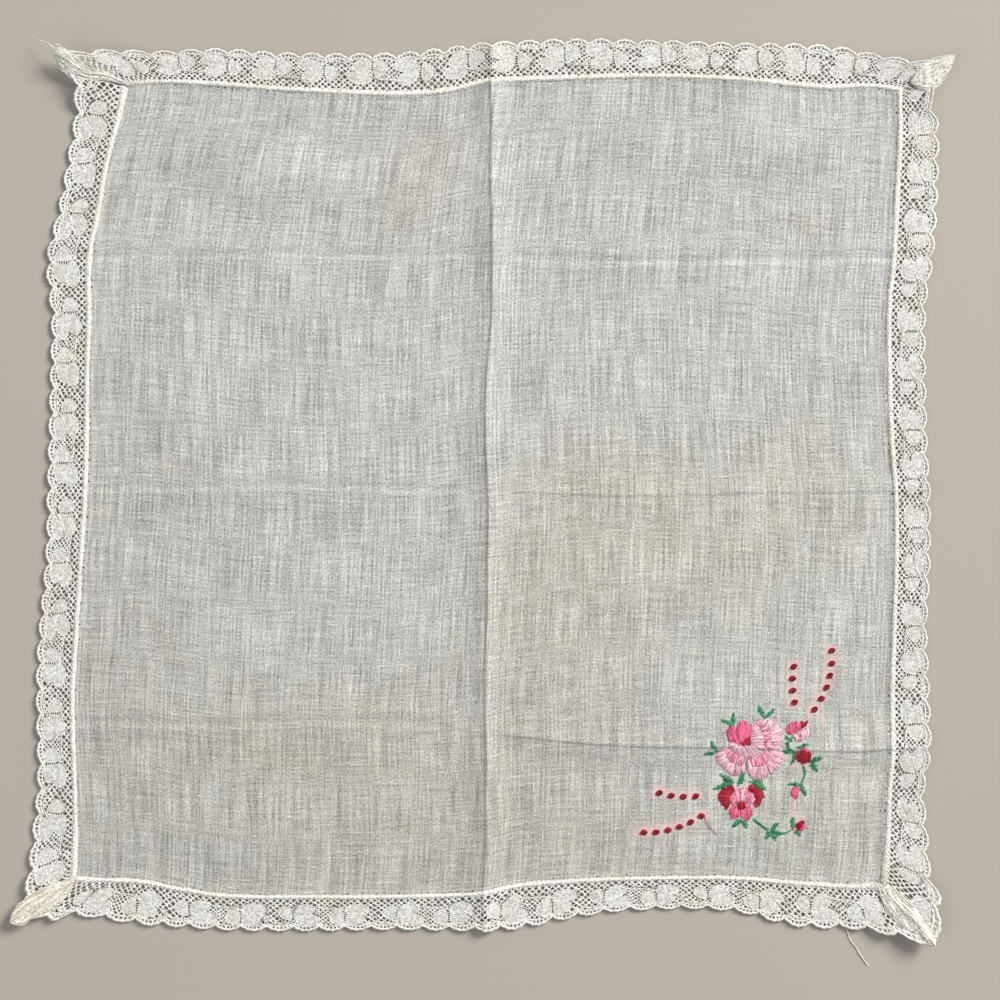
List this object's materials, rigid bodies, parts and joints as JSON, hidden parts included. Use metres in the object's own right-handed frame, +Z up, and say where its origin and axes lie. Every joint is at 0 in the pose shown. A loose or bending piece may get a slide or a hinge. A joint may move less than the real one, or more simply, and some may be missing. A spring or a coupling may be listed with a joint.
{
  "type": "lace-trimmed handkerchief",
  "caption": "Square handkerchief of sheer lawn edged with scalloped lace, laid flat with its fold creases, with a sprig of roses embroidered in one corner.",
  "frame": {"origin": "on the surface the handkerchief lies on, under the middle of its outline", "axes": "+X to the handkerchief's right and +Y to its top, seen face up with the embroidered sprig at the lower right; +Z up out of its face"},
  "size_m": [0.3202, 0.3074, 0.0076],
  "materials": {
    "lawn": "fine plain-woven cotton lawn, sheer, softly creased, greyed ivory",
    "lace": "machine-made cotton lace, matte ivory cream",
    "red_thread": "deep red stranded embroidery cotton, soft sheen",
    "pink_thread": "pink stranded embroidery cotton, soft sheen",
    "pale_pink_thread": "pale pink stranded embroidery cotton, soft sheen",
    "green_thread": "leaf green stranded embroidery cotton, soft sheen",
    "sewing_thread": "cream sewing cotton, matte"
  },
  "bodies": {
    "root": {"cloth_panel": "lawn", "lace_top": "lace", "lace_right": "lace", "lace_bottom": "lace", "lace_left": "lace"}
  },
  "joints": []
}
